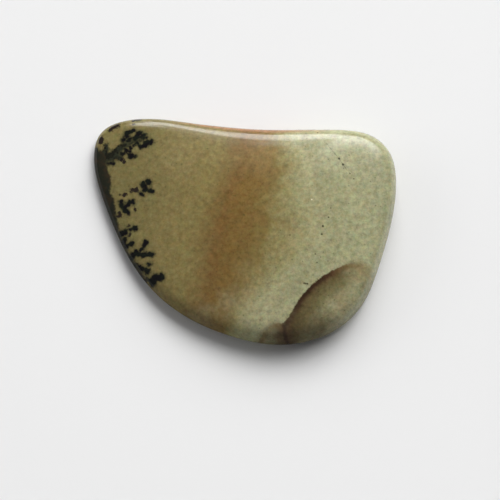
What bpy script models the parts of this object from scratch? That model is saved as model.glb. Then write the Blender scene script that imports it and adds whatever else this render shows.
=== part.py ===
"""A polished porcelanite stone, one solid: a low domed crown, a rounded underside and a flat resting spot.

Metres, +Z up, origin under the middle of the outline on the surface the stone rests on.
+X runs along the stone's length and +Y towards its long, slightly hollow side.
"""

import math

import bmesh
import bpy
import numpy as np
from mathutils import Vector
from mathutils.geometry import interpolate_bezier

MM = 0.001

# Driving dimensions, in millimetres.
# The outline seen from above passes through these points, anticlockwise from the right-hand side.
OUTLINE_POINTS = (
    (9.45, 0.70),
    (9.75, 3.25),
    (9.35, 5.15),
    (8.40, 6.10),
    (5.80, 6.65),
    (1.30, 6.75),
    (-3.45, 7.25),
    (-6.25, 7.55),
    (-9.35, 6.55),
    (-9.70, 4.65),
    (-9.05, 2.10),
    (-7.30, -1.85),
    (-4.80, -4.80),
    (-1.10, -6.75),
    (2.20, -7.40),
    (4.50, -7.05),
    (7.20, -5.25),
    (8.55, -2.45),
)
# The widest line round the stone lies this high above the surface, and waves a little.
GIRDLE_HEIGHT = 0.60
GIRDLE_WAVE = 0.06
GIRDLE_WAVE_TURN = math.radians(40)
# The crown rises in a rounded shoulder, about twice as wide as EDGE_ROUNDING, and in a low dome on top.
SHOULDER_HEIGHT = 1.00
EDGE_ROUNDING = 0.35
DOME_HEIGHT = 0.80
# The flat spot is the outline shrunk to this share.
FLAT_SPOT_SHARE = 0.58
# All heights grow by this share towards the blunt end, at +X, and shrink by it towards the narrow end.
THICKNESS_TAPER = 0.40

# How finely the solid is faceted.
OUTLINE_SEGMENTS = 96
UNDERSIDE_RINGS = 11
SHOULDER_RINGS = 12
SHOULDER_TURN = math.radians(76)
DOME_RINGS = 7
SAMPLES_PER_SPAN = 40

# Colour and finish of the plain solid.
STONE_COLOUR = (0.24, 0.21, 0.10, 1.0)
POLISHED_ROUGHNESS = 0.22


def smooth_closed_curve(points, count):
    """Points evenly spaced along the smooth closed curve through the given points, anticlockwise."""
    knots = np.array(points)
    before, after = np.roll(knots, 1, axis=0), np.roll(knots, -1, axis=0)
    span = np.linalg.norm(after - knots, axis=1)
    last_span = np.roll(span, 1)
    total = len(knots)
    system = np.zeros((total, total))
    for i in range(total):
        system[i, i - 1] = 1 / last_span[i]
        system[i, i] = 2 / last_span[i] + 2 / span[i]
        system[i, (i + 1) % total] = 1 / span[i]
    pull = (knots - before) / last_span[:, None] ** 2 + (after - knots) / span[:, None] ** 2
    slope = np.linalg.solve(system, 3 * pull)
    dense = []
    for i in range(total):
        j = (i + 1) % total
        handle_out = knots[i] + slope[i] * span[i] / 3
        handle_in = knots[j] - slope[j] * span[i] / 3
        corners = [Vector((*p, 0.0)) for p in (knots[i], handle_out, handle_in, knots[j])]
        dense += [p.xy[:] for p in interpolate_bezier(*corners, SAMPLES_PER_SPAN + 1)[:-1]]
    dense = np.array(dense + dense[:1])
    travelled = np.insert(np.cumsum(np.linalg.norm(np.diff(dense, axis=0), axis=1)), 0, 0.0)
    stations = np.linspace(0.0, travelled[-1], count, endpoint=False)
    return np.stack([np.interp(stations, travelled, dense[:, axis]) for axis in (0, 1)], axis=1)


def area_centre(outline):
    """The centre of the area inside a closed outline."""
    ahead = np.roll(outline, -1, axis=0)
    cross = outline[:, 0] * ahead[:, 1] - ahead[:, 0] * outline[:, 1]
    return ((outline + ahead) * cross[:, None]).sum(axis=0) / (3 * cross.sum())


def stone_rings():
    """The rings of points in millimetres, from the flat spot up over the girdle, and the crown's middle."""
    outline = smooth_closed_curve(OUTLINE_POINTS, OUTLINE_SEGMENTS)
    outline -= (outline.min(axis=0) + outline.max(axis=0)) / 2
    centre = area_centre(outline)
    half_length = outline[:, 0].max()
    angle = np.arctan2(*(outline - centre).T[::-1])
    girdle = GIRDLE_HEIGHT + GIRDLE_WAVE * np.sin(2 * angle + GIRDLE_WAVE_TURN)
    shoulder = GIRDLE_HEIGHT + SHOULDER_HEIGHT - girdle
    # A long reach gets a blunter profile, so that the rounded margin is equally wide all the way round.
    bluntness = np.linalg.norm(outline - centre, axis=1) / EDGE_ROUNDING

    rings = []
    for step in range(UNDERSIDE_RINGS):
        turn = math.pi / 2 * (1 - step / UNDERSIDE_RINGS)
        share = FLAT_SPOT_SHARE + (1 - FLAT_SPOT_SHARE) * math.cos(turn)
        rings.append((np.full(OUTLINE_SEGMENTS, share), girdle * (1 - math.sin(turn))))
    crown_turns = [SHOULDER_TURN * step / SHOULDER_RINGS for step in range(SHOULDER_RINGS)]
    crown_shares = [math.cos(turn) ** (2 / bluntness) for turn in crown_turns]
    shoulder_end = math.cos(SHOULDER_TURN) ** (2 / bluntness)
    crown_shares += [shoulder_end * (1 - step / DOME_RINGS) for step in range(DOME_RINGS)]
    for share in crown_shares:
        height = girdle + shoulder * np.sqrt(1 - share ** bluntness) + DOME_HEIGHT * (1 - share ** 2)
        rings.append((share, height))

    shaped = []
    for share, height in rings:
        flat = centre + (outline - centre) * share[:, None]
        shaped.append(np.column_stack([flat, height * (1 + THICKNESS_TAPER * flat[:, 0] / half_length)]))
    full_height = GIRDLE_HEIGHT + SHOULDER_HEIGHT + DOME_HEIGHT
    return shaped, (*centre, full_height * (1 + THICKNESS_TAPER * centre[0] / half_length))


def build_stone():
    """The stone as one closed mesh: an even net of quads, an apex fan and the flat spot as a single face."""
    rings, middle = stone_rings()
    net = bmesh.new()
    loops = [[net.verts.new([MM * value for value in point]) for point in ring] for ring in rings]
    apex = net.verts.new([MM * value for value in middle])
    net.faces.new(reversed(loops[0]))
    for lower, upper in zip(loops, loops[1:]):
        for i in range(OUTLINE_SEGMENTS):
            j = (i + 1) % OUTLINE_SEGMENTS
            net.faces.new((lower[i], lower[j], upper[j], upper[i]))
    for i in range(OUTLINE_SEGMENTS):
        net.faces.new((loops[-1][i], loops[-1][(i + 1) % OUTLINE_SEGMENTS], apex))
    mesh = bpy.data.meshes.new("stone")
    net.to_mesh(mesh)
    net.free()
    mesh.shade_smooth()
    stone = bpy.data.objects.new("stone", mesh)
    bpy.context.scene.collection.objects.link(stone)
    return stone


def polished_stone_material():
    material = bpy.data.materials.new("porcelanite")
    material.use_nodes = True
    shader = material.node_tree.nodes["Principled BSDF"]
    shader.inputs["Base Color"].default_value = STONE_COLOUR
    shader.inputs["Roughness"].default_value = POLISHED_ROUGHNESS
    shader.inputs["Metallic"].default_value = 0.0
    return material


def main():
    for old in list(bpy.data.objects):
        bpy.data.objects.remove(old)
    stone = build_stone()
    stone.data.materials.append(polished_stone_material())


main()
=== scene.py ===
"""The looks of a polished porcelanite stone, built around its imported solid.

A fine mesh repeats the solid's shape. Its markings are fields stored on the mesh, such as the distance to
the nearest dendrite. The stone's material turns them into colour, with noise for grain and ragged edges.
Lengths are millimetres unless a name says metres. +X is the blunt pale end, +Y the slightly hollow side and
+Z up.
"""

import math

import bpy
import numpy as np
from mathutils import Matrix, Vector, noise
from mathutils.geometry import interpolate_bezier


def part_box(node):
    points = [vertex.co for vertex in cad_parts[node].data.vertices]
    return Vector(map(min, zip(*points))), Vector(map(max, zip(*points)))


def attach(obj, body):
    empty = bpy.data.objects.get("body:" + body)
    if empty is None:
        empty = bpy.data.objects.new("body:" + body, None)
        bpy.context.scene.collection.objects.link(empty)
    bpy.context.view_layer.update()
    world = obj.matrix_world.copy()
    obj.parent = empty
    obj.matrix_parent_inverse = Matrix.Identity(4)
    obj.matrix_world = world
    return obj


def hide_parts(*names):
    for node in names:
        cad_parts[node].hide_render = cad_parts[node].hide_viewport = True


MM = 0.001

# The shape, with the solid's own driving dimensions.
OUTLINE_POINTS = (
    (9.45, 0.70), (9.75, 3.25), (9.35, 5.15), (8.40, 6.10), (5.80, 6.65), (1.30, 6.75),
    (-3.45, 7.25), (-6.25, 7.55), (-9.35, 6.55), (-9.70, 4.65), (-9.05, 2.10), (-7.30, -1.85),
    (-4.80, -4.80), (-1.10, -6.75), (2.20, -7.40), (4.50, -7.05), (7.20, -5.25), (8.55, -2.45),
)
GIRDLE_HEIGHT = 0.60
GIRDLE_WAVE = 0.06
GIRDLE_WAVE_TURN = math.radians(40)
SHOULDER_HEIGHT = 1.00
EDGE_ROUNDING = 0.35
DOME_HEIGHT = 0.80
FLAT_SPOT_SHARE = 0.58
THICKNESS_TAPER = 0.40

# How finely the visible mesh is divided, in rings from the middle out.
RINGS = 108
SHOULDER_RINGS = 32
SHOULDER_TURN = math.radians(64)
INNER_RINGS = 28
INNER_SHARE = 0.5
UNDERSIDE_RINGS = 36
SAMPLES_PER_SPAN = 60
# Points round the outline lie closer together on the left, where the dendrites are.
DENDRITE_SIDE_X = -4.0
DENDRITE_SIDE_DENSITY = 1.6

# Hand polishing leaves the surface faintly wavy. The waves only go inwards, swing about the middle of their
# depth, and are missing on the flat spot.
POLISH_WAVE_DEPTH = 0.012
POLISH_WAVE_MIDDLE = 0.5
POLISH_WAVE_LENGTH = 2.4
# The fine mesh stays this far inside the solid's box.
INSET = 0.002

# Dark dendrites on the crown: a radius, then the points that the stroke runs through.
FERN = (
    (0.15, (-6.29, 5.56), (-6.01, 5.65)),
    (0.11, (-6.64, 5.35), (-6.35, 5.47)),
    (0.06, (-6.67, 5.24)),
    (0.13, (-7.04, 5.94), (-6.80, 6.27)),
    (0.08, (-6.88, 6.33), (-6.74, 6.34)),
    (0.06, (-6.65, 5.99), (-6.45, 6.18)),
    (0.06, (-6.53, 5.83), (-6.31, 5.96)),
    (0.10, (-7.39, 6.37), (-7.15, 6.52)),
    (0.12, (-7.62, 6.16), (-7.54, 6.34)),
    (0.11, (-7.83, 5.83), (-7.74, 5.89)),
    (0.06, (-7.74, 5.89), (-7.46, 6.02)),
    (0.06, (-7.48, 5.77), (-7.30, 5.98)),
    (0.10, (-7.35, 5.30)),
    (0.07, (-7.13, 5.41), (-7.05, 5.48)),
    (0.08, (-6.91, 5.65), (-6.75, 5.40)),
    (0.08, (-7.87, 4.92), (-7.58, 4.99), (-7.29, 4.79)),
    (0.08, (-7.62, 5.19), (-7.38, 5.03)),
    (0.12, (-7.35, 4.69), (-7.22, 4.72)),
    (0.10, (-7.22, 4.74), (-7.03, 4.72)),
    (0.06, (-8.77, 4.32), (-8.39, 4.30)),
)
CLOUD = (
    (0.18, (-6.15, 2.95)),
    (0.17, (-6.47, 2.82)),
    (0.13, (-6.40, 2.50), (-6.30, 2.53)),
    (0.11, (-6.06, 2.38), (-5.90, 2.34)),
    (0.10, (-6.63, 2.22), (-6.52, 2.15)),
)
FORK = (
    (0.12, (-7.89, 1.75), (-7.83, 1.42)),
    (0.10, (-7.69, 1.37), (-7.53, 1.17)),
    (0.09, (-7.48, 1.08), (-7.41, 0.96)),
    (0.10, (-7.50, 1.49), (-7.32, 1.65)),
    (0.09, (-7.28, 1.67), (-7.14, 1.76)),
    (0.06, (-7.35, 1.82)),
    (0.06, (-7.07, 1.60)),
    (0.06, (-7.70, 1.14), (-7.59, 1.04)),
)
LOW_ROW = (
    (0.13, (-7.01, -0.02), (-6.93, -0.04)),
    (0.06, (-7.33, -0.08), (-7.17, -0.06)),
    (0.12, (-7.61, -0.15), (-7.58, -0.26)),
    (0.18, (-7.83, -0.30)),
    (0.12, (-7.66, -0.69), (-7.70, -0.85)),
    (0.14, (-7.55, -1.13)),
    (0.12, (-7.24, -1.04), (-7.15, -0.99)),
    (0.13, (-6.30, -0.93), (-6.27, -1.04)),
    (0.12, (-6.38, -1.20)),
    (0.08, (-6.60, -1.41), (-6.52, -1.36)),
    (0.09, (-6.93, -1.52), (-6.84, -1.62)),
    (0.12, (-6.96, -1.68), (-6.56, -1.74)),
    (0.14, (-6.43, -1.79), (-6.31, -1.77)),
    (0.11, (-6.31, -1.77), (-6.07, -1.76)),
    (0.13, (-5.98, -1.77), (-5.86, -1.77)),
    (0.10, (-7.15, -1.69), (-7.06, -1.76)),
    (0.08, (-7.32, -1.81), (-7.17, -1.92)),
    (0.13, (-6.03, -2.40)),
    (0.10, (-6.52, -2.63), (-6.35, -2.72)),
    (0.12, (-6.23, -2.76), (-6.13, -2.79)),
    (0.07, (-6.19, -2.92)),
    (0.07, (-6.69, -2.49), (-6.52, -2.63)),
    (0.19, (-5.29, -3.21), (-5.27, -3.27)),
    (0.18, (-5.66, -3.22), (-5.46, -3.25)),
    (0.13, (-5.96, -3.40), (-5.83, -3.39)),
    (0.12, (-5.82, -3.59), (-5.73, -3.58)),
)
# The fern's main stem lies a little below the surface and shows through dark green.
STEM = (
    (0.24, (-9.10, 4.55), (-8.75, 4.68), (-8.45, 4.85)),
    (0.20, (-8.45, 4.85), (-8.20, 5.10), (-7.95, 5.32)),
    (0.16, (-7.95, 5.32), (-7.60, 5.55), (-7.30, 5.68)),
    (0.10, (-7.30, 5.68), (-7.00, 5.79), (-6.69, 5.78)),
    (0.16, (-8.20, 5.10), (-8.08, 4.80), (-7.98, 4.62)),
    (0.09, (-8.88, 5.50), (-8.91, 5.16)),
    (0.16, (-9.05, 5.00), (-8.60, 4.75)),
    (0.12, (-9.00, 4.40), (-8.50, 4.32)),
    (0.08, (-6.99, 5.79), (-6.72, 5.90)),
    (0.07, (-6.62, 6.05), (-6.42, 6.20)),
)
# Blots of a browner black, between the dendrites and along the rim.
BROWN_BLOTS = (
    (0.10, (-7.84, 4.44), (-7.76, 4.45)),
    (0.06, (-7.70, 4.36)),
    (0.10, (-7.22, 2.43), (-6.89, 2.49)),
    (0.08, (-7.68, 2.18), (-7.63, 2.26)),
    (0.04, (-7.94, 2.24)),
    (0.09, (-8.05, 0.82), (-7.92, 0.89)),
    (0.06, (-7.02, 1.20)),
    (0.06, (-7.42, 0.16)),
    (0.06, (-7.33, -0.41)),
    (0.08, (-6.87, -2.33), (-6.71, -2.47)),
    (0.08, (-6.21, -3.30), (-6.09, -3.34)),
    (0.06, (-7.98, 1.05)),
)
RIM_BLOTS = (
    (0.10, (-8.64, 6.61), (-8.44, 6.78), (-8.17, 6.88)),
    (0.12, (-9.25, 5.81), (-9.23, 6.05)),
    (0.06, (-7.16, 7.21), (-6.77, 7.30)),
    (0.05, (-7.14, 6.95)),
)
# The inner edge of the dark margin, from the left-hand top downwards.
MARGIN_LINE = (
    (-10.60, 5.45), (-9.77, 5.50), (-9.55, 5.48), (-9.39, 5.25), (-9.13, 5.11), (-9.00, 4.83),
    (-8.94, 4.56), (-8.88, 4.16), (-8.76, 3.78), (-8.60, 3.41), (-8.57, 3.08), (-8.58, 2.79),
    (-8.69, 2.44), (-8.56, 2.23), (-8.43, 2.03), (-8.33, 1.70), (-8.28, 1.28), (-8.23, 0.86),
    (-8.15, 0.41), (-8.04, 0.02), (-7.91, -0.43), (-7.78, -0.86), (-7.57, -1.26), (-7.33, -1.67),
    (-7.07, -2.07), (-6.71, -2.57), (-6.30, -3.30),
)

# The bands are measured between two lines down the stone: the middle of the brown band and of the pale one.
BROWN_LINE = (
    (0.80, 7.60), (0.65, 5.65), (0.50, 4.79), (0.35, 3.89), (0.10, 3.01), (-0.20, 2.08), (-0.45, 1.02),
    (-0.79, 0.12), (-1.17, -0.78), (-1.36, -1.67), (-1.45, -2.56), (-1.50, -3.58), (-1.62, -4.58),
    (-1.90, -5.58), (-2.60, -7.60),
)
PALE_LINE = (
    (2.70, 7.60), (2.84, 5.61), (2.96, 4.75), (3.27, 3.83), (3.39, 2.80), (3.51, 1.47), (3.51, 0.17),
    (3.44, -0.87), (3.06, -1.77), (2.58, -2.53), (1.75, -3.66), (1.00, -4.78), (0.15, -5.76),
    (-1.30, -7.60),
)
# To the left of the brown line, the band coordinate falls by 1 in this many millimetres.
BAND_WIDTH_LEFT = 2.6
# How far the bands shift towards +X for each millimetre of depth.
BAND_DIP = 0.5

# The front of the brown patch at the lower right: points, each with how dark the line is there.
PATCH_FRONT = (
    (0.60, -7.80, 0.42), (0.92, -7.30, 0.42), (1.13, -7.03, 0.42), (1.35, -6.75, 0.42),
    (1.57, -6.52, 0.42), (1.82, -6.36, 0.42), (2.11, -6.34, 0.42), (2.33, -6.43, 0.6),
    (2.48, -6.35, 0.9), (2.66, -6.13, 1.0), (2.86, -5.86, 1.0), (3.07, -5.53, 1.0), (3.24, -5.25, 1.0),
    (3.39, -4.96, 1.0), (3.53, -4.74, 1.0), (3.70, -4.54, 1.0), (3.93, -4.31, 1.0), (4.18, -4.06, 1.0),
    (4.44, -3.81, 1.0), (4.69, -3.61, 1.0), (5.00, -3.40, 0.95), (5.32, -3.21, 0.85),
    (5.64, -3.04, 0.7), (5.95, -2.88, 0.55), (6.27, -2.73, 0.48), (6.59, -2.63, 0.40),
    (6.90, -2.59, 0.36), (7.22, -2.62, 0.32), (7.54, -2.73, 0.26), (7.79, -2.90, 0.18),
    (7.99, -3.10, 0.06), (8.60, -4.20, 0.0), (9.60, -6.00, 0.0),
)
# The seam across the patch's left-hand end: a radius, then the points that the stroke runs through.
PATCH_SEAM = (
    (0.08, (2.46, -6.45), (2.52, -6.71), (2.55, -6.97)),
    (0.10, (2.57, -7.06), (2.60, -7.23)),
    (0.05, (2.60, -7.23), (2.75, -7.42)),
)

# Pits and specks on the pale side, and a hairline crack: a radius, then a point or the points of a stroke.
DARK_SPECKS = (
    (0.07, (6.02, 4.24)), (0.08, (6.26, 3.84)), (0.04, (6.70, 3.23)), (0.04, (6.94, 2.89)),
    (0.07, (4.95, -0.23)), (0.06, (4.88, -0.75)), (0.05, (5.32, 0.35)), (0.04, (5.46, 0.95)),
    (0.06, (3.76, -3.885)), (0.06, (3.86, -3.90)), (0.06, (3.96, -3.915)), (0.04, (4.68, 6.12)),
    (0.04, (4.46, -2.03)), (0.03, (4.80, -2.22)), (0.04, (4.57, -2.57)), (0.03, (5.26, -2.47)),
    (0.03, (4.97, -1.90)), (0.04, (2.87, -0.80)),
)
PALE_SPECKS = (
    (0.04, (4.26, 1.50)),
)
CRACK = (
    (0.02, (5.22, 5.34), (5.51, 4.90), (5.74, 4.59), (6.01, 4.24), (6.26, 3.84), (6.57, 3.40), (6.95, 2.87)),
)

# Soft stains and soft painted shade: the middle, how far each reaches, how strong it is and its screen
# colour.
# The dark one at the foot of the brown patch and the two grey ones at the right-hand end are painted shade.
STAINS_AND_SHADE = (
    ((6.1, -5.0), 1.1, 0.25, (134, 110, 78)),
    # Painted shade at the foot of the brown patch, where the stone turns under.
    ((4.5, -6.7), 2.2, 0.62, (78, 62, 38)),
    # Painted shade at the right-hand end, this one and the next.
    ((9.3, 0.6), 1.9, 0.30, (132, 134, 108)),
    ((8.8, 3.4), 2.2, 0.30, (134, 132, 104)),
    ((4.7, 6.3), 0.9, 0.20, (140, 110, 78)),
    ((3.0, -0.3), 0.9, 0.22, (132, 106, 74)),
    ((7.2, -3.2), 1.1, 0.35, (138, 114, 70)),
    ((-4.3, 4.4), 2.2, 0.40, (136, 122, 84)),
    ((0.9, 4.6), 1.9, 0.35, (150, 128, 86)),
    ((0.3, -3.2), 1.4, 0.35, (146, 134, 92)),
    ((-0.7, -5.1), 1.7, 0.55, (148, 138, 102)),
    ((-2.6, -5.8), 1.5, 0.55, (138, 130, 94)),
    ((1.3, -5.5), 2.3, 0.45, (172, 166, 130)),
)
# Where the surface turns towards +Y, on the steep wall of the long side, the bands are reddish brown. This
# rises and fades along X.
WALL_TURN = (0.50, 0.80)
WALL_RISE_X = (-5.5, -2.0)
WALL_FADE_X = (6.0, 2.0)
# The low edge along the front and the left is barely polished, and so is the steepest part all round. In
# front, the steepest part also gets painted shade: its colour is darkened a little. A turn is how far the
# surface's normal points sideways, and a tilt is how far it points up.
LOW_EDGE_TOWARDS = (-0.6, -0.8)
LOW_EDGE_TURN = (0.0, 0.45)
LOW_EDGE_TILT = (0.85, 0.50)
RIM_TILT = (0.45, 0.15)
LOW_EDGE_GLOSS = 0.08
# Painted shade on the steep front edge: where it lies, and how much it darkens the colour.
PAINTED_SHADE_TURN = (0.3, 0.8)
PAINTED_SHADE_TILT = (0.50, 0.15)
PAINTED_SHADE_STRENGTH = 0.12

# How softly neighbouring strokes run together, and the nearness of a place that no stroke is near to.
STROKE_BLEND = 0.02
NO_NEARNESS = 1e-30
# Marks on the crown alone are said to be this far from every place on the underside.
FAR_OFF = 1.0
# The least squared length that a distance to a segment divides by, for strokes of a single point.
LEAST_LENGTH_SQUARED = 1e-12

# The camera looks down from the front. The scale holds at its target.
CAMERA_TARGET = (0.347, -1.133, 0.0)
CAMERA_ELEVATION = math.radians(76)
CAMERA_DISTANCE = 160.0
PIXELS_PER_MM = 15.6
IMAGE_PIXELS = 500
SENSOR_WIDTH = 36.0
NEAR_CLIP_METRES = 0.01

# Light: a window behind the stone and a little to its right, soft fill from both sides, and dim light from
# all round, strongest from the front.
FLOOR_WHITE = 0.8
FLOOR_BRIGHTNESS = 0.86
FLOOR_SIZE_METRES = 2.0
FLOOR_GAP = 0.005
WINDOW_DISTANCE_METRES = 1.0
# The window's panes overlap, so that it is brightest in its middle. Each one is given by the azimuths of its
# sides, the elevations of its lower and upper edges, in degrees, and its brightness beside the others.
WINDOW_PANES = (
    (64, 90, 25, 47, 5.3),
    (56, 92, 27, 53, 3.0),
    (50, 91, 24, 57, 2.0),
    (76, 91, 42, 51, 2.0),
    (44, 94, 20, 67, 1.0),
    (47, 64, 26, 42, 3.0),
    (90, 100, 16, 39, 10.0),
    (88, 106, 6, 36, 2.0),
    (100, 108, 28, 46, 10.0),
)
# Soft fill lights from the right and the left, which the polish doesn't mirror.
FILL_PANES = (
    (28, 70, 12, 60, 6.2),
    (130, 190, 6, 36, 2.2),
)
# All panes together give the floor this share of its light.
PANE_SHARE = 0.92
PANE_SAMPLES = 61


def smooth_closed_curve(points):
    """Dense points along the smooth closed curve through the given ones, centred, ending on the first."""
    knots = np.array(points)
    before, after = np.roll(knots, 1, axis=0), np.roll(knots, -1, axis=0)
    span = np.linalg.norm(after - knots, axis=1)
    last_span = np.roll(span, 1)
    total = len(knots)
    system = np.zeros((total, total))
    for i in range(total):
        system[i, i - 1] = 1 / last_span[i]
        system[i, i] = 2 / last_span[i] + 2 / span[i]
        system[i, (i + 1) % total] = 1 / span[i]
    pull = (knots - before) / last_span[:, None] ** 2 + (after - knots) / span[:, None] ** 2
    slope = np.linalg.solve(system, 3 * pull)
    dense = []
    for i in range(total):
        j = (i + 1) % total
        handle_out = knots[i] + slope[i] * span[i] / 3
        handle_in = knots[j] - slope[j] * span[i] / 3
        corners = [Vector((*p, 0.0)) for p in (knots[i], handle_out, handle_in, knots[j])]
        dense += [p.xy[:] for p in interpolate_bezier(*corners, SAMPLES_PER_SPAN + 1)[:-1]]
    dense = np.array(dense + dense[:1])
    return dense - (dense.min(axis=0) + dense.max(axis=0)) / 2


def area_centre(outline):
    """The centre of the area inside a closed outline."""
    ahead = np.roll(outline, -1, axis=0)
    cross = outline[:, 0] * ahead[:, 1] - ahead[:, 0] * outline[:, 1]
    return ((outline + ahead) * cross[:, None]).sum(axis=0) / (3 * cross.sum())


def square_grid():
    """For each point of a square grid, its ring from the middle out and its place round that, 0 to 1."""
    line = np.arange(-RINGS, RINGS + 1)
    column, row = (axis.ravel() for axis in np.meshgrid(line, line, indexing="ij"))
    ring = np.maximum(abs(column), abs(row))
    sides = [column == ring, row == ring, column == -ring]
    along = np.select(sides, [row + ring, 3 * ring - column, 5 * ring - row], 7 * ring + column)
    return ring, along / np.maximum(8 * ring, 1)


def outline_at(place, outline):
    """Points at the given places round the outline, 0 to 1, closer together on the dendrites' side."""
    steps = np.linalg.norm(np.diff(outline, axis=0), axis=1)
    denser = (outline[:-1, 0] < DENDRITE_SIDE_X) * (DENDRITE_SIDE_DENSITY - 1)
    travelled = np.insert(np.cumsum(steps * (1 + denser)), 0, 0.0)
    travelled /= travelled[-1]
    return np.stack([np.interp(place, travelled, outline[:, axis]) for axis in (0, 1)], axis=1)


def crown_shares(inward, bluntness):
    """How far out from the centre each crown ring lies, by its count inward from the girdle."""
    turn = SHOULDER_TURN * np.minimum(inward / SHOULDER_RINGS, 1)
    shoulder = np.cos(turn) ** (2 / bluntness)
    shoulder_end = math.cos(SHOULDER_TURN) ** (2 / bluntness)
    middle_rings = RINGS - SHOULDER_RINGS - INNER_RINGS
    across = (inward - SHOULDER_RINGS) / middle_rings
    middle = shoulder_end + (INNER_SHARE - shoulder_end) * across
    inner = INNER_SHARE * (RINGS - inward) / INNER_RINGS
    return np.where(inward <= SHOULDER_RINGS, shoulder, np.where(across <= 1, middle, inner))


def stone_points():
    """Points of the crown and of the underside, one for each grid point.

    Also gives the crown's height above each point of the underside, and which grid points lie on the rim.
    """
    low, high = (np.array(corner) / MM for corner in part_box("stone"))
    outline = smooth_closed_curve(OUTLINE_POINTS)
    outline *= ((high - low)[:2] / 2 - INSET) / outline.max(axis=0)
    half_length = outline[:, 0].max()
    centre = area_centre(outline[:-1])
    ring, place = square_grid()
    inward = RINGS - ring
    rim = outline_at(place, outline)
    spoke = rim - centre
    angle = np.arctan2(spoke[:, 1], spoke[:, 0])
    girdle = GIRDLE_HEIGHT + GIRDLE_WAVE * np.sin(2 * angle + GIRDLE_WAVE_TURN)
    shoulder = GIRDLE_HEIGHT + SHOULDER_HEIGHT - girdle
    bluntness = np.linalg.norm(spoke, axis=1) / EDGE_ROUNDING

    def crown_height(share):
        round_part = np.sqrt(np.clip(1 - share ** bluntness, 0, 1))
        return girdle + shoulder * round_part + DOME_HEIGHT * (1 - share ** 2)

    def placed(share, height):
        flat = centre + spoke * share[:, None]
        return np.column_stack([flat, height * (1 + THICKNESS_TAPER * flat[:, 0] / half_length)])

    share = crown_shares(inward, bluntness)
    crown = placed(share, crown_height(share))
    settle = (high[2] - INSET) / crown[:, 2].max()
    crown[:, 2] *= settle
    turn = math.pi / 2 * np.minimum(inward / UNDERSIDE_RINGS, 1)
    curved = FLAT_SPOT_SHARE + (1 - FLAT_SPOT_SHARE) * np.cos(turn)
    flat = FLAT_SPOT_SHARE * (RINGS - inward) / (RINGS - UNDERSIDE_RINGS)
    share = np.where(inward < UNDERSIDE_RINGS, curved, flat)
    underside = placed(share, girdle * (1 - np.sin(turn)))
    overhead = placed(share, crown_height(share))[:, 2] * settle
    return crown, underside, overhead, ring == RINGS


def stone_mesh():
    """The stone's fine mesh in metres, its points in millimetres and how deep each lies below the crown."""
    crown, underside, overhead, on_rim = stone_points()
    across = 2 * RINGS + 1
    index = np.arange(across * across)
    below = np.where(on_rim, index, len(index) + np.cumsum(~on_rim) - 1)
    points = np.vstack([crown, underside[~on_rim]])
    depth = np.concatenate([np.zeros(len(index)), (overhead - underside[:, 2])[~on_rim]])
    cells = index.reshape(across, across)
    corners = [cells[:-1, :-1], cells[1:, :-1], cells[1:, 1:], cells[:-1, 1:]]
    quads = np.stack([c.ravel() for c in corners], axis=1)
    faces = np.vstack([quads, below[quads[:, ::-1]]])
    mesh = bpy.data.meshes.new("porcelanite_stone")
    mesh.from_pydata(points * MM, [], faces.tolist())
    mesh.update()
    mesh.shade_smooth()
    normals = np.zeros(len(points) * 3, np.float32)
    mesh.vertex_normals.foreach_get("vector", normals)
    normals = normals.reshape(-1, 3)
    points -= normals * polish_waves(points)[:, None]
    mesh.vertices.foreach_set("co", (points * MM).astype(np.float32).ravel())
    mesh.update()
    return mesh, points, depth, normals


def polish_waves(points):
    """How far the polished surface lies inside the plain shape, at each point."""
    waves = np.array([noise.noise(Vector(point) / POLISH_WAVE_LENGTH) for point in points])
    off_the_flat = np.clip(points[:, 2] / GIRDLE_HEIGHT, 0, 1)
    return POLISH_WAVE_DEPTH * np.clip(POLISH_WAVE_MIDDLE + waves, 0, 1) * off_the_flat


def nearest_on_segment(points, start, end):
    """The distance from each point to a segment, and how far along it the nearest place is, 0 to 1."""
    start, end = np.array(start), np.array(end)
    run = end - start
    length_squared = max(run @ run, LEAST_LENGTH_SQUARED)
    along = np.clip((points - start) @ run / length_squared, 0, 1)
    return np.linalg.norm(points - start - along[:, None] * run, axis=1), along


def distance_to_strokes(points, strokes):
    """Distance from each point to the nearest stroke's edge, negative inside, blended where strokes meet."""
    nearness = np.full(len(points), NO_NEARNESS)
    for radius, *path in strokes:
        for start, end in zip(path, path[1:] or path):
            away, _ = nearest_on_segment(points, start, end)
            nearness += np.exp((radius - away) / STROKE_BLEND)
    return -STROKE_BLEND * np.log(nearness)


def side_of_line(points, line):
    """Distance from each point to a line, positive on its right, and the value that the line has there."""
    line = np.array(line)
    best = np.full(len(points), np.inf)
    signed = np.zeros(len(points))
    value = np.zeros(len(points))
    for start, end in zip(line, line[1:]):
        away, along = nearest_on_segment(points, start[:2], end[:2])
        run, offset = end[:2] - start[:2], points - start[:2]
        turn = run[1] * offset[:, 0] - run[0] * offset[:, 1]
        closer = away < best
        best = np.where(closer, away, best)
        signed = np.where(closer, np.where(turn >= 0, away, -away), signed)
        if len(start) > 2:
            value = np.where(closer, start[2] + (end[2] - start[2]) * along, value)
    return signed, value


def band_coordinate(points):
    """0 on the brown band's middle, 1 on the pale line, and below 0 to the left of the brown band."""
    brown, pale = (np.array(line)[::-1] for line in (BROWN_LINE, PALE_LINE))
    brown_x = np.interp(points[:, 1], brown[:, 1], brown[:, 0])
    pale_x = np.interp(points[:, 1], pale[:, 1], pale[:, 0])
    beyond = points[:, 0] - brown_x
    return np.where(beyond > 0, beyond / (pale_x - brown_x), beyond / BAND_WIDTH_LEFT)


def smooth_step(values, start, end):
    """Rises smoothly from 0 to 1 as the values go from start to end, where end may lie below start."""
    share = np.clip((values - start) / (end - start), 0, 1)
    return share * share * (3 - 2 * share)


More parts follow.
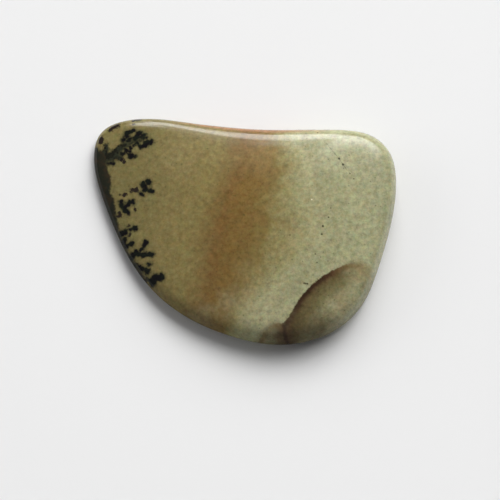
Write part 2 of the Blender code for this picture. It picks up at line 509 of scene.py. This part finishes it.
def add_fields(mesh, points, depth, normals):
    """Stores the markings' fields on the mesh, for the material to read by name."""
    flat = points[:, :2] + np.outer(depth * BAND_DIP, (-1.0, 0.0))
    patch, patch_line = side_of_line(flat, PATCH_FRONT)
    margin, _ = side_of_line(flat, MARGIN_LINE)
    hidden = depth > 0
    ink = distance_to_strokes(points[:, :2], FERN + CLOUD + FORK + LOW_ROW)
    stem = distance_to_strokes(points[:, :2], STEM)
    brown = distance_to_strokes(points[:, :2], BROWN_BLOTS + RIM_BLOTS)
    crack = distance_to_strokes(points[:, :2], CRACK)
    fields = {
        "ink": np.where(hidden, FAR_OFF, ink),
        "stem": np.where(hidden, FAR_OFF, stem),
        "brown_blot": np.where(hidden, FAR_OFF, brown),
        "margin": margin,
        "band": band_coordinate(flat),
        "patch": patch,
        "patch_line": patch_line,
        "seam": distance_to_strokes(flat, PATCH_SEAM),
        "crack": np.where(hidden, FAR_OFF, crack),
        "low_edge": np.maximum(
            smooth_step(normals[:, 2], *LOW_EDGE_TILT)
            * smooth_step(normals[:, :2] @ LOW_EDGE_TOWARDS, *LOW_EDGE_TURN),
            smooth_step(normals[:, 2], *RIM_TILT),
        ),
        # Painted shade: the colour darkens where the front edge turns steeply down.
        "painted_shade_rim": smooth_step(normals[:, 2], *PAINTED_SHADE_TILT) * smooth_step(-normals[:, 1], *PAINTED_SHADE_TURN),
        "wall": (
            smooth_step(normals[:, 1], *WALL_TURN)
            * smooth_step(points[:, 0], *WALL_RISE_X)
            * smooth_step(points[:, 0], *WALL_FADE_X)
        ),
    }
    for name, values in fields.items():
        attribute = mesh.attributes.new(name, "FLOAT", "POINT")
        attribute.data.foreach_set("value", values.astype(np.float32))


def srgb(red, green, blue):
    """A colour given as 0 to 255 on a screen, as linear values with alpha, by the sRGB standard's curve."""
    parts = [value / 255 for value in (red, green, blue)]
    return (*[p / 12.92 if p <= 0.04045 else ((p + 0.055) / 1.055) ** 2.4 for p in parts], 1.0)


# Where a colour mix node has its share, its two colours and its result.
MIX_INPUTS = (0, 6, 7)
MIX_OUTPUT = 2


class Shader:
    """Short calls for making the nodes of one material."""

    def __init__(self, material):
        material.use_nodes = True
        self.tree = material.node_tree
        self.surface = self.tree.nodes["Principled BSDF"]
        place = self.node("ShaderNodeTexCoord").outputs["Object"]
        self.place = self.vector("SCALE", place, scale=1 / MM)

    def node(self, kind, **settings):
        node = self.tree.nodes.new(kind)
        for name, value in settings.items():
            setattr(node, name, value)
        return node

    def put(self, socket, value):
        if isinstance(value, bpy.types.NodeSocket):
            self.tree.links.new(value, socket)
        else:
            socket.default_value = value

    def vector(self, operation, *values, scale=None):
        node = self.node("ShaderNodeVectorMath", operation=operation)
        for socket, value in zip(node.inputs, values):
            self.put(socket, value)
        if scale is not None:
            self.put(node.inputs["Scale"], scale)
        return node.outputs["Value" if operation == "DISTANCE" else "Vector"]

    def math(self, operation, *values):
        node = self.node("ShaderNodeMath", operation=operation)
        for socket, value in zip(node.inputs, values):
            self.put(socket, value)
        return node.outputs["Value"]

    def field(self, name):
        return self.node("ShaderNodeAttribute", attribute_name=name).outputs["Fac"]

    def noise(self, per_mm, detail=2.0, roughness=0.5, shift=0.0):
        """Noise between about -1 and 1, with features per_mm to the millimetre."""
        place = self.vector("ADD", self.place, (shift, shift, shift))
        node = self.node("ShaderNodeTexNoise")
        self.put(node.inputs["Vector"], place)
        for name, value in (("Scale", per_mm), ("Detail", detail), ("Roughness", roughness)):
            node.inputs[name].default_value = value
        centred = self.math("SUBTRACT", node.outputs["Fac"], 0.5)
        return self.math("MULTIPLY", centred, 2.0)

    def lobes(self, per_mm):
        """Round lobes, per_mm to the millimetre: below 0 in the middle of each and above 0 between them."""
        node = self.node("ShaderNodeTexVoronoi", feature="SMOOTH_F1")
        self.put(node.inputs["Vector"], self.place)
        node.inputs["Scale"].default_value = per_mm
        node.inputs["Smoothness"].default_value = LOBE_SMOOTHNESS
        return self.math("SUBTRACT", node.outputs["Distance"], LOBE_MIDDLE)

    def total(self, first, *others):
        for other in others:
            first = self.math("ADD", first, other)
        return first

    def product(self, first, *others):
        for other in others:
            first = self.math("MULTIPLY", first, other)
        return first

    def step(self, value, start, end):
        """Rises smoothly from 0 to 1 as value goes from start to end, where end may lie below start."""
        node = self.node("ShaderNodeMapRange", interpolation_type="SMOOTHSTEP")
        self.put(node.inputs["Value"], value)
        for name, number in (("From Min", start), ("From Max", end), ("To Min", 0.0), ("To Max", 1.0)):
            self.put(node.inputs[name], number)
        if start > end:
            self.put(node.inputs["From Min"], end)
            self.put(node.inputs["From Max"], start)
            self.put(node.inputs["To Min"], 1.0)
            self.put(node.inputs["To Max"], 0.0)
        return node.outputs["Result"]

    def ramp(self, value, stops):
        """A colour read from stops, each a value and a colour, between the first value and the last."""
        first, last = stops[0][0], stops[-1][0]
        scaled = self.math("DIVIDE", self.math("SUBTRACT", value, first), last - first)
        node = self.node("ShaderNodeValToRGB")
        self.put(node.inputs["Fac"], scaled)
        elements = node.color_ramp.elements
        while len(elements) < len(stops):
            elements.new(0.5)
        for element, (stop, colour) in zip(elements, stops):
            element.position = (stop - first) / (last - first)
            element.color = colour
        return node.outputs["Color"]

    def blend(self, share, first, second):
        node = self.node("ShaderNodeMix", data_type="RGBA")
        for place, value in zip(MIX_INPUTS, (share, first, second)):
            self.put(node.inputs[place], value)
        return node.outputs[MIX_OUTPUT]

    def mark(self, colour, mark_colour, edge, edge_range, strength=None):
        """Lays a mark over the colour. It fades in as edge crosses edge_range."""
        share = self.step(edge, *edge_range)
        if strength is not None:
            share = self.product(share, strength)
        return self.blend(share, colour, mark_colour)

    def tint(self, colour, red, green, blue):
        """The colour with each channel multiplied by its own factor."""
        factors = self.node("ShaderNodeCombineXYZ")
        for socket, value in zip(factors.inputs, (red, green, blue)):
            self.put(socket, value)
        return self.vector("MULTIPLY", colour, factors.outputs["Vector"])


# The bands' colours, by the band coordinate.
BAND_COLOURS = (
    (-2.50, srgb(115, 105, 66)),
    (-1.50, srgb(123, 110, 69)),
    (-0.90, srgb(125, 112, 69)),
    (-0.30, srgb(112, 87, 49)),
    (0.05, srgb(115, 91, 49)),
    (0.30, srgb(116, 94, 52)),
    (0.53, srgb(119, 102, 59)),
    (0.76, srgb(134, 124, 82)),
    (1.00, srgb(146, 141, 101)),
    (1.24, srgb(155, 151, 114)),
    (1.50, srgb(147, 145, 110)),
    (1.90, srgb(155, 154, 118)),
    (2.40, srgb(153, 152, 117)),
)
# The patch's colours, by the distance inside its front, and those of the line along the front, by its
# strength.
PATCH_COLOURS = (
    (0.00, srgb(84, 66, 44)),
    (0.25, srgb(90, 74, 48)),
    (0.60, srgb(98, 88, 56)),
    (1.10, srgb(115, 108, 74)),
    (1.70, srgb(149, 145, 109)),
    (3.00, srgb(156, 152, 117)),
)
FRONT_COLOURS = (
    (0.00, srgb(130, 110, 76)),
    (0.40, srgb(110, 92, 59)),
    (0.75, srgb(76, 55, 36)),
    (1.00, srgb(56, 38, 25)),
)
SEAM_SHADE_COLOUR = srgb(70, 50, 32)
SEAM_COLOUR = srgb(56, 38, 26)
WALL_COLOUR = srgb(148, 104, 70)
INK_COLOUR = srgb(17, 15, 17)
GREEN_INK_COLOUR = srgb(22, 26, 19)
INK_HALO_COLOUR = srgb(70, 68, 44)
STEM_COLOUR = srgb(38, 42, 33)
STEM_CORE_COLOUR = srgb(20, 22, 18)
BROWN_BLOT_COLOUR = srgb(31, 23, 24)
MARGIN_COLOUR = srgb(36, 38, 29)
BROWN_MARGIN_COLOUR = srgb(50, 42, 30)
CRACK_COLOUR = srgb(84, 74, 52)
SPECK_COLOUR = srgb(44, 38, 28)
PALE_SPECK_COLOUR = srgb(225, 220, 195)
PORE_COLOUR = srgb(62, 62, 40)

# Noises: features to the millimetre, octaves, how strong the finer octaves are, and a shift that tells two
# noises apart.
BROAD_NOISE = {"per_mm": 0.35, "detail": 2.0, "shift": 83.0}
CLOUDY_NOISE = {"per_mm": 1.3, "detail": 3.0, "shift": 57.0}
RAGGED_NOISE = {"per_mm": 4.5, "detail": 3.0, "roughness": 0.7, "shift": 12.0}
GRAIN_NOISE = {"per_mm": 3.3, "detail": 4.0, "roughness": 0.76}
RED_NOISE = {"per_mm": 3.0, "detail": 3.0, "roughness": 0.8, "shift": 31.0}
BLUE_NOISE = {"per_mm": 3.0, "detail": 3.0, "roughness": 0.8, "shift": 67.0}
UNEVEN_NOISE = {"per_mm": 2.5, "detail": 2.0, "shift": 44.0}
MOTTLED_NOISE = {"per_mm": 3.4, "detail": 2.0, "roughness": 0.6, "shift": 25.0}

# How far the broad and the cloudy noise move the bands, how far the cloudy noise moves the edge of a stain
# or of painted shade, and how strongly the wall's colour covers the bands.
BROAD_WANDER = 0.25
CLOUDY_WANDER = 0.22
STAIN_AND_SHADE_WANDER = 0.8
WALL_STRENGTH = 0.75

# The patch: its front is crisp where the line along it is strong, and soft elsewhere.
FRONT_RAGGEDNESS = 0.11
CRISP_STRENGTH = (0.25, 0.60)
CRISP_EDGE = (-0.06, 0.05)
SOFT_EDGE = (-0.40, 0.20)
# Behind a weak line the patch covers the bands only this much, and behind a strong one fully.
LEAST_COVER = 0.30
COVER_STRENGTH = (0.2, 0.7)
# The line fades out inwards, and the seam shades the patch beside it.
LINE_FADE = (0.46, 0.10)
LINE_STRENGTH = (0.0, 0.6)
SEAM_RAGGEDNESS = 0.08
SEAM_EDGE = (0.10, -0.04)
SEAM_SHADE_REACH = (1.3, 0.0)
SEAM_SHADE_STRENGTH = 0.8

# Grain: its middle brightness, how much it lightens and darkens, and how far it leans to red and to blue.
GRAIN_MIDDLE = 1.03
GRAIN_DEPTH = 0.80
RED_LEAN = 0.20
BLUE_LEAN = 0.28
# Where the grain leans to red, green and blue fall by these shares of the lean.
GREEN_ANSWER = -0.5
BLUE_ANSWER = -0.4
# Pores: one to each cell. LARGEST_PORE is the largest one's radius, in cells.
PORES_PER_MM = 3.0
LARGEST_PORE = 0.16
PORE_EDGE = (0.05, -0.04)
PORE_STRENGTH = 0.42

# Dendrites, margin and blots have lobed and ragged edges. Each edge is where the mark fades in.
LOBES_PER_MM = 5.5
LOBE_SMOOTHNESS = 0.5
LOBE_MIDDLE = 0.45
LOBE_DEPTH = 0.13
LOBE_RAGGEDNESS = 0.08
BLOT_LOBING = 1.5
MARGIN_LOBING = 1.2
STEM_EDGE = (0.20, -0.04)
STEM_STRENGTH = 0.97
STEM_MOTTLE = (-0.15, 0.25)
BLOT_EDGE = (0.12, 0.0)
BLOT_STRENGTH = 0.95
MARGIN_EDGE = (-0.14, 0.08)
MARGIN_MOTTLE = (-0.2, 0.3)
INK_SPREAD = 0.03
INK_EDGE = (0.08, -0.05)
INK_MOTTLE = (0.2, -0.2)
INK_HALO_EDGE = (0.20, 0.0)
INK_HALO_STRENGTH = 0.60

# The crack and the specks: where each fades in, and how strong it is.
CRACK_RAGGEDNESS = 0.03
CRACK_EDGE = (0.03, -0.01)
CRACK_STRENGTH = 0.5
SPECK_EDGE = (0.03, -0.03)
SPECK_STRENGTH = 0.85
PALE_SPECK_EDGE = (0.02, -0.02)

# The polish, how far the ragged noise changes its roughness, and the shader's value for full gloss.
ROUGHNESS = 0.14
ROUGHNESS_WAVER = 0.02
STONE_IOR = 1.49
FULL_GLOSS = 0.5


def from_above(shader):
    """Each place's x and y alone."""
    parts = shader.node("ShaderNodeSeparateXYZ")
    shader.put(parts.inputs["Vector"], shader.place)
    level = shader.node("ShaderNodeCombineXYZ")
    shader.put(level.inputs["X"], parts.outputs["X"])
    shader.put(level.inputs["Y"], parts.outputs["Y"])
    return level.outputs["Vector"]


def nearest_speck(shader, level, specks):
    """Distance to the nearest speck's edge, negative inside, as seen from above."""
    nearest = None
    for radius, point in specks:
        away = shader.vector("DISTANCE", level, (*point, 0.0))
        edge = shader.math("SUBTRACT", away, radius)
        nearest = edge if nearest is None else shader.math("MINIMUM", nearest, edge)
    return nearest


def banded(shader, cloudy):
    """The bands, with a reddish wall on the long side."""
    broad = shader.noise(**BROAD_NOISE)
    wander = shader.total(shader.product(broad, BROAD_WANDER), shader.product(cloudy, CLOUDY_WANDER))
    colour = shader.ramp(shader.total(shader.field("band"), wander), BAND_COLOURS)
    return shader.blend(shader.product(shader.field("wall"), WALL_STRENGTH), colour, WALL_COLOUR)


def stained_and_shaded(shader, colour, level, cloudy):
    """Adds the soft stains and the soft painted shade, by their places as seen from above."""
    wander = shader.product(cloudy, STAIN_AND_SHADE_WANDER)
    for point, reach, strength, screen_colour in STAINS_AND_SHADE:
        away = shader.total(shader.vector("DISTANCE", level, (*point, 0.0)), wander)
        colour = shader.mark(colour, srgb(*screen_colour), away, (reach, 0.0), strength)
    return colour


def with_patch(shader, colour, ragged):
    """Adds the brown patch, the line along its front and the seam that shades one end of it."""
    strength = shader.field("patch_line")
    front = shader.total(shader.field("patch"), shader.product(ragged, FRONT_RAGGEDNESS))
    crisp = shader.step(strength, *CRISP_STRENGTH)
    soft = shader.math("SUBTRACT", 1.0, crisp)
    inside = shader.total(
        shader.product(shader.step(front, *CRISP_EDGE), crisp),
        shader.product(shader.step(front, *SOFT_EDGE), soft),
    )
    cover = shader.product(shader.step(strength, *COVER_STRENGTH), 1 - LEAST_COVER)
    cover = shader.product(inside, shader.total(LEAST_COVER, cover))
    colour = shader.blend(cover, colour, shader.ramp(front, PATCH_COLOURS))
    seam = shader.total(shader.field("seam"), shader.product(ragged, SEAM_RAGGEDNESS))
    shade = shader.product(shader.step(seam, *SEAM_SHADE_REACH), inside, SEAM_SHADE_STRENGTH)
    colour = shader.blend(shade, colour, SEAM_SHADE_COLOUR)
    line = shader.product(inside, shader.step(front, *LINE_FADE), shader.step(strength, *LINE_STRENGTH))
    colour = shader.blend(line, colour, shader.ramp(strength, FRONT_COLOURS))
    return shader.mark(colour, SEAM_COLOUR, seam, SEAM_EDGE)


def with_grain(shader, colour):
    """Adds mottled grain in brightness and hue, and small dark pores."""
    grain = shader.product(shader.noise(**GRAIN_NOISE), GRAIN_DEPTH)
    red = shader.product(shader.noise(**RED_NOISE), RED_LEAN)
    blue = shader.product(shader.noise(**BLUE_NOISE), BLUE_LEAN)
    bright = shader.total(GRAIN_MIDDLE, grain)
    factors = (
        shader.product(bright, shader.total(1.0, red)),
        shader.product(bright, shader.total(1.0, shader.product(red, GREEN_ANSWER))),
        shader.product(bright, shader.total(1.0, shader.product(red, BLUE_ANSWER), blue)),
    )
    colour = shader.tint(colour, *factors)
    cells = shader.node("ShaderNodeTexVoronoi")
    shader.put(cells.inputs["Vector"], shader.place)
    cells.inputs["Scale"].default_value = PORES_PER_MM
    parts = shader.node("ShaderNodeSeparateXYZ")
    shader.put(parts.inputs["Vector"], cells.outputs["Color"])
    radius = shader.product(parts.outputs["X"], LARGEST_PORE)
    edge = shader.math("SUBTRACT", cells.outputs["Distance"], radius)
    return shader.mark(colour, PORE_COLOUR, edge, PORE_EDGE, PORE_STRENGTH)


def with_dendrites(shader, colour, ragged):
    """Adds the fern's stem, the brown blots, the dark margin and the dendrites, with lobed, ragged edges."""
    lobes = shader.product(shader.lobes(LOBES_PER_MM), LOBE_DEPTH)
    lobed = shader.total(lobes, shader.product(ragged, LOBE_RAGGEDNESS))
    uneven = shader.noise(**UNEVEN_NOISE)
    mottled = shader.step(shader.noise(**MOTTLED_NOISE), *STEM_MOTTLE)
    stem_colour = shader.blend(mottled, STEM_CORE_COLOUR, STEM_COLOUR)
    for name, mark_colour, edge_range, strength in (
        ("stem", stem_colour, STEM_EDGE, STEM_STRENGTH),
        ("brown_blot", BROWN_BLOT_COLOUR, BLOT_EDGE, BLOT_STRENGTH),
    ):
        edge = shader.total(shader.field(name), shader.product(lobed, BLOT_LOBING))
        colour = shader.mark(colour, mark_colour, edge, edge_range, strength)
    margin = shader.total(shader.field("margin"), shader.product(lobed, MARGIN_LOBING))
    dark = shader.blend(shader.step(uneven, *MARGIN_MOTTLE), MARGIN_COLOUR, BROWN_MARGIN_COLOUR)
    colour = shader.mark(colour, dark, margin, MARGIN_EDGE)
    ink = shader.total(shader.field("ink"), lobed, -INK_SPREAD)
    colour = shader.mark(colour, INK_HALO_COLOUR, ink, INK_HALO_EDGE, INK_HALO_STRENGTH)
    dark = shader.blend(shader.step(uneven, *INK_MOTTLE), INK_COLOUR, GREEN_INK_COLOUR)
    return shader.mark(colour, dark, ink, INK_EDGE)


def with_specks(shader, colour, level, ragged):
    """Adds the hairline crack, the dark specks and the pale one."""
    crack = shader.total(shader.field("crack"), shader.product(ragged, CRACK_RAGGEDNESS))
    colour = shader.mark(colour, CRACK_COLOUR, crack, CRACK_EDGE, CRACK_STRENGTH)
    dark = nearest_speck(shader, level, DARK_SPECKS)
    colour = shader.mark(colour, SPECK_COLOUR, dark, SPECK_EDGE, SPECK_STRENGTH)
    pale = nearest_speck(shader, level, PALE_SPECKS)
    return shader.mark(colour, PALE_SPECK_COLOUR, pale, PALE_SPECK_EDGE)


def porcelanite():
    """Polished banded porcelanite, with all its markings, its worn low edge and painted shade on its steep
    front edge.
    """
    material = bpy.data.materials.new("polished_porcelanite")
    shader = Shader(material)
    level = from_above(shader)
    ragged = shader.noise(**RAGGED_NOISE)
    cloudy = shader.noise(**CLOUDY_NOISE)
    colour = with_patch(shader, banded(shader, cloudy), ragged)
    colour = with_grain(shader, stained_and_shaded(shader, colour, level, cloudy))
    colour = with_specks(shader, with_dendrites(shader, colour, ragged), level, ragged)
    # Painted shade darkens the colour on the steep front edge.
    shade = shader.total(1.0, shader.product(shader.field("painted_shade_rim"), -PAINTED_SHADE_STRENGTH))
    gloss_loss = shader.product(shader.field("low_edge"), FULL_GLOSS * (LOW_EDGE_GLOSS - 1))
    surface = shader.surface
    shader.put(surface.inputs["Base Color"], shader.tint(colour, shade, shade, shade))
    shader.put(surface.inputs["Roughness"], shader.total(ROUGHNESS, shader.product(ragged, ROUGHNESS_WAVER)))
    shader.put(surface.inputs["Specular IOR Level"], shader.total(FULL_GLOSS, gloss_loss))
    surface.inputs["IOR"].default_value = STONE_IOR
    return material


def pale_floor():
    material = bpy.data.materials.new("pale_floor")
    material.use_nodes = True
    surface = material.node_tree.nodes["Principled BSDF"]
    surface.inputs["Base Color"].default_value = (FLOOR_WHITE, FLOOR_WHITE, FLOOR_WHITE, 1.0)
    surface.inputs["Roughness"].default_value = 1.0
    surface.inputs["Specular IOR Level"].default_value = 0.0
    return material


def add_object(name, data):
    piece = bpy.data.objects.new(name, data)
    bpy.context.scene.collection.objects.link(piece)
    return piece


def make_stone():
    mesh, points, depth, normals = stone_mesh()
    add_fields(mesh, points, depth, normals)
    mesh.materials.append(porcelanite())
    stone = add_object("porcelanite_stone", mesh)
    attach(stone, "root")
    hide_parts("stone")


def make_floor():
    half = FLOOR_SIZE_METRES / 2
    level = -FLOOR_GAP * MM
    mesh = bpy.data.meshes.new("floor")
    corners = [(-half, -half, level), (half, -half, level), (half, half, level), (-half, half, level)]
    mesh.from_pydata(corners, [], [(0, 1, 2, 3)])
    mesh.materials.append(pale_floor())
    add_object("floor", mesh)


def make_camera():
    back = Vector((0, -math.cos(CAMERA_ELEVATION), math.sin(CAMERA_ELEVATION)))
    lens = bpy.data.cameras.new("camera")
    lens.sensor_width = SENSOR_WIDTH
    half_view = IMAGE_PIXELS / 2 / PIXELS_PER_MM
    lens.lens = SENSOR_WIDTH / 2 * CAMERA_DISTANCE / half_view
    lens.clip_start = NEAR_CLIP_METRES
    camera = add_object("camera", lens)
    camera.location = (Vector(CAMERA_TARGET) + back * CAMERA_DISTANCE) * MM
    camera.rotation_euler = (math.pi / 2 - CAMERA_ELEVATION, 0, 0)
    bpy.context.scene.camera = camera


class Pane:
    """A flat lit rectangle that faces the stone, and how much light it gives to the floor."""

    def __init__(self, first_side, second_side, low, high, brightness):
        azimuth, elevation = math.radians(first_side + second_side) / 2, math.radians(low + high) / 2
        level = Vector((math.cos(azimuth), math.sin(azimuth), 0))
        self.towards = level * math.cos(elevation) + Vector((0, 0, math.sin(elevation)))
        reach = 2 * WINDOW_DISTANCE_METRES
        self.width = reach * math.tan(math.radians(second_side - first_side) / 2) * math.cos(elevation)
        self.height = reach * math.tan(math.radians(high - low) / 2)
        self.brightness = brightness
        self.on_floor = brightness * self.floor_share()

    def floor_share(self):
        """How much light the floor gets where the stone is, for each unit of radiance."""
        sideways = self.towards.cross((0, 0, 1)).normalized()
        upwards = sideways.cross(self.towards)
        across = np.linspace(-self.width / 2, self.width / 2, PANE_SAMPLES)[:, None]
        along = np.linspace(-self.height / 2, self.height / 2, PANE_SAMPLES)[None, :]
        squared = WINDOW_DISTANCE_METRES ** 2 + across ** 2 + along ** 2
        height = self.towards.z * WINDOW_DISTANCE_METRES + upwards.z * along
        return (WINDOW_DISTANCE_METRES * height / squared ** 2).mean() * self.width * self.height

    def light(self, name, radiance, mirrored):
        data = bpy.data.lights.new(name, "AREA")
        data.shape = "RECTANGLE"
        data.size, data.size_y = self.width, self.height
        data.energy = self.brightness * radiance * math.pi * self.width * self.height
        pane = add_object(name, data)
        pane.location = self.towards * WINDOW_DISTANCE_METRES
        pane.rotation_euler = (-self.towards).to_track_quat("-Z", "Y").to_euler()
        pane.visible_camera = False
        pane.visible_glossy = mirrored


def make_light():
    """The panes give their share of the floor's light, and dim light from all round gives the rest."""
    irradiance = FLOOR_BRIGHTNESS * math.pi / FLOOR_WHITE
    panes = [Pane(*numbers) for numbers in WINDOW_PANES + FILL_PANES]
    radiance = PANE_SHARE * irradiance / sum(pane.on_floor for pane in panes)
    for number, pane in enumerate(panes):
        pane.light(f"pane_{number}", radiance, mirrored=number < len(WINDOW_PANES))

    world = bpy.data.worlds.new("dim_light")
    bpy.context.scene.world = world
    world.use_nodes = True
    tree = world.node_tree
    direction = tree.nodes.new("ShaderNodeTexCoord").outputs["Generated"]
    frontness = tree.nodes.new("ShaderNodeVectorMath")
    frontness.operation = "DOT_PRODUCT"
    tree.links.new(direction, frontness.inputs[0])
    frontness.inputs[1].default_value = (0, -1, 0)
    strength = tree.nodes.new("ShaderNodeMath")
    strength.operation = "MULTIPLY_ADD"
    tree.links.new(frontness.outputs["Value"], strength.inputs[0])
    sideways = (1 - PANE_SHARE) * irradiance / math.pi
    strength.inputs[1].default_value = sideways
    strength.inputs[2].default_value = sideways
    background = tree.nodes["Background"]
    background.inputs["Color"].default_value = (1, 1, 1, 1)
    tree.links.new(strength.outputs["Value"], background.inputs["Strength"])


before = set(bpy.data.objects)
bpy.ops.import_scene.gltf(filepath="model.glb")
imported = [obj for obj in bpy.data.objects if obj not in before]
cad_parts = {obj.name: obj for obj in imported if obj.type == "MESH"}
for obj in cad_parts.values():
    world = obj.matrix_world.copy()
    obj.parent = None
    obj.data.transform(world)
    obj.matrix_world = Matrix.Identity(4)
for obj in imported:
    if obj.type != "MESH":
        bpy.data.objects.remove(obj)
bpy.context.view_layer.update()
make_stone()
make_floor()
make_camera()
make_light()
bpy.context.scene.view_settings.view_transform = "Standard"
